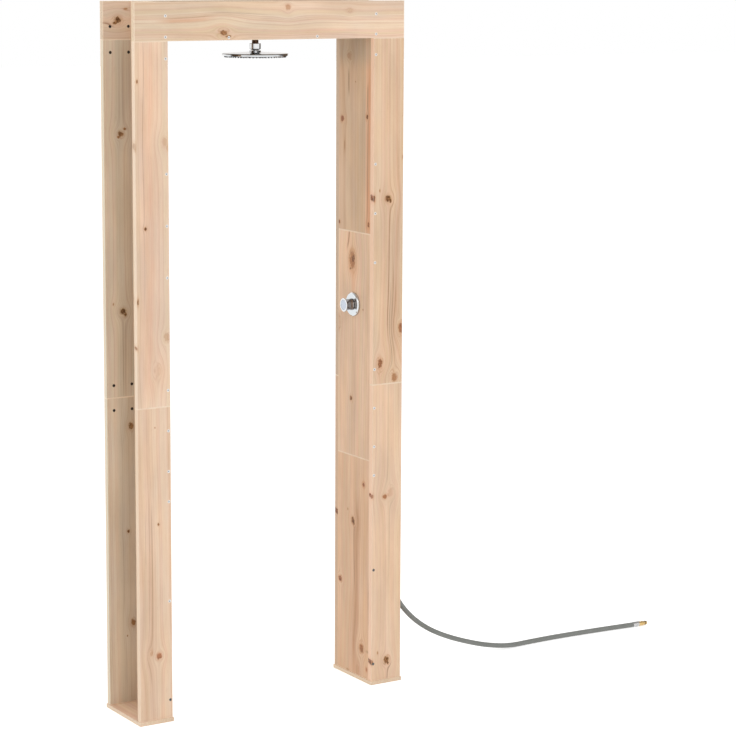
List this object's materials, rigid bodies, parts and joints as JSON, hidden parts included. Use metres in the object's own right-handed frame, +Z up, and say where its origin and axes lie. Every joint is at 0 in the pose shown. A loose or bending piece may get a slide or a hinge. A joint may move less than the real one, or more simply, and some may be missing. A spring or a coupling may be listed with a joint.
{
  "type": "outdoor shower post",
  "caption": "Free-standing outdoor shower: a timber portal of open plank channels on base plates, rain head under the beam, turning tap in the side, hose feed.",
  "frame": {"origin": "on the ground, at the centre of the footprint of the two base plates (the free hose isn't counted)", "axes": "+Z up; +X along the beam towards the post with the tap and the hose; the front planks face -Y"},
  "size_m": [2.0004, 0.23, 2.15],
  "materials": {
    "pine_planks": "planed knotty pine, unfinished",
    "zinc_screws": "bright zinc plated",
    "galvanised_plate": "galvanised sheet",
    "dark_insert": "black oxide",
    "polished_chrome": "polished",
    "satin_chrome": "satin",
    "valve_brass": "as cast and turned",
    "dark_thread": "darkened thread",
    "copper_pipe": "drawn copper",
    "stainless_clip": "stainless band",
    "white_plastic": "moulded, satin",
    "ceramic": "lapped ceramic",
    "black_rubber": "moulded",
    "grey_silicone": "moulded silicone",
    "fibre": "red fibre",
    "grey_hose": "ribbed grey PVC hose"
  },
  "bodies": {
    "frame": {"left_base_plate": "pine_planks", "left_front_plank_lower": "pine_planks", "left_front_plank_upper": "pine_planks", "left_back_plank_lower": "pine_planks", "left_back_plank_upper": "pine_planks", "left_side_plank_lower": "pine_planks", "left_side_plank_middle": "pine_planks", "left_side_plank_upper": "pine_planks", "right_base_plate": "pine_planks", "right_front_plank_lower": "pine_planks", "right_front_plank_upper": "pine_planks", "right_back_plank_lower": "pine_planks", "right_back_plank_upper": "pine_planks", "right_side_plank_lower": "pine_planks", "right_side_plank_middle": "pine_planks", "right_side_plank_upper": "pine_planks", "beam_front_plank": "pine_planks", "beam_back_plank": "pine_planks", "beam_underside_plank": "pine_planks", "front_plank_screws": "zinc_screws", "back_plank_screws": "zinc_screws", "base_plate_screws": "zinc_screws", "rear_splice_plates": "galvanised_plate", "splice_bolts": "zinc_screws", "splice_insert_nuts": "dark_insert", "valve_body": "valve_brass", "valve_backnut": "valve_brass", "valve_cartridge": "valve_brass", "ceramic_disc_fixed": "ceramic", "wall_plate": "polished_chrome", "riser_pipe": "copper_pipe", "cross_pipe": "copper_pipe", "corner_elbow": "valve_brass", "drop_elbow": "valve_brass", "compression_nuts": "valve_brass", "compression_olives": "valve_brass", "pipe_clips": "white_plastic", "pipe_fixing_screws": "zinc_screws", "threaded_stub": "dark_thread", "head_connector": "polished_chrome", "fibre_washers": "fibre", "hose_tail_nut": "valve_brass", "hose_tail": "valve_brass", "hose_clip": "stainless_clip", "hose_clip_screw": "zinc_screws", "supply_hose": "grey_hose", "hose_end_ferrule": "stainless_clip", "hose_end_nipple": "valve_brass", "nipple_o_ring": "black_rubber"},
    "knob": {"tap_knob": "polished_chrome", "knob_cap": "satin_chrome", "knob_screw": "zinc_screws", "valve_spindle": "valve_brass", "ceramic_disc_moving": "ceramic"},
    "ball_seat": {"ball_seat": "white_plastic"},
    "shower_head": {"head_collar": "polished_chrome", "head_shell": "polished_chrome", "head_seal_ring": "black_rubber", "face_plate": "polished_chrome", "nozzle_mat": "grey_silicone"}
  },
  "joints": [
    {"name": "knob_turn", "type": "hinge", "parent": "frame", "child": "knob", "pos_m": [0.3365, 0, 1.205], "axis": [-1, 0, 0], "range_deg": [0, 90]},
    {"name": "head_spin", "type": "hinge", "parent": "frame", "child": "ball_seat", "pos_m": [0, 0, 1.995], "axis": [0, 0, 1], "continuous": true},
    {"name": "head_tilt", "type": "hinge", "parent": "ball_seat", "child": "shower_head", "pos_m": [0, 0, 1.995], "axis": [1, 0, 0], "range_deg": [-10, 10]}
  ]
}
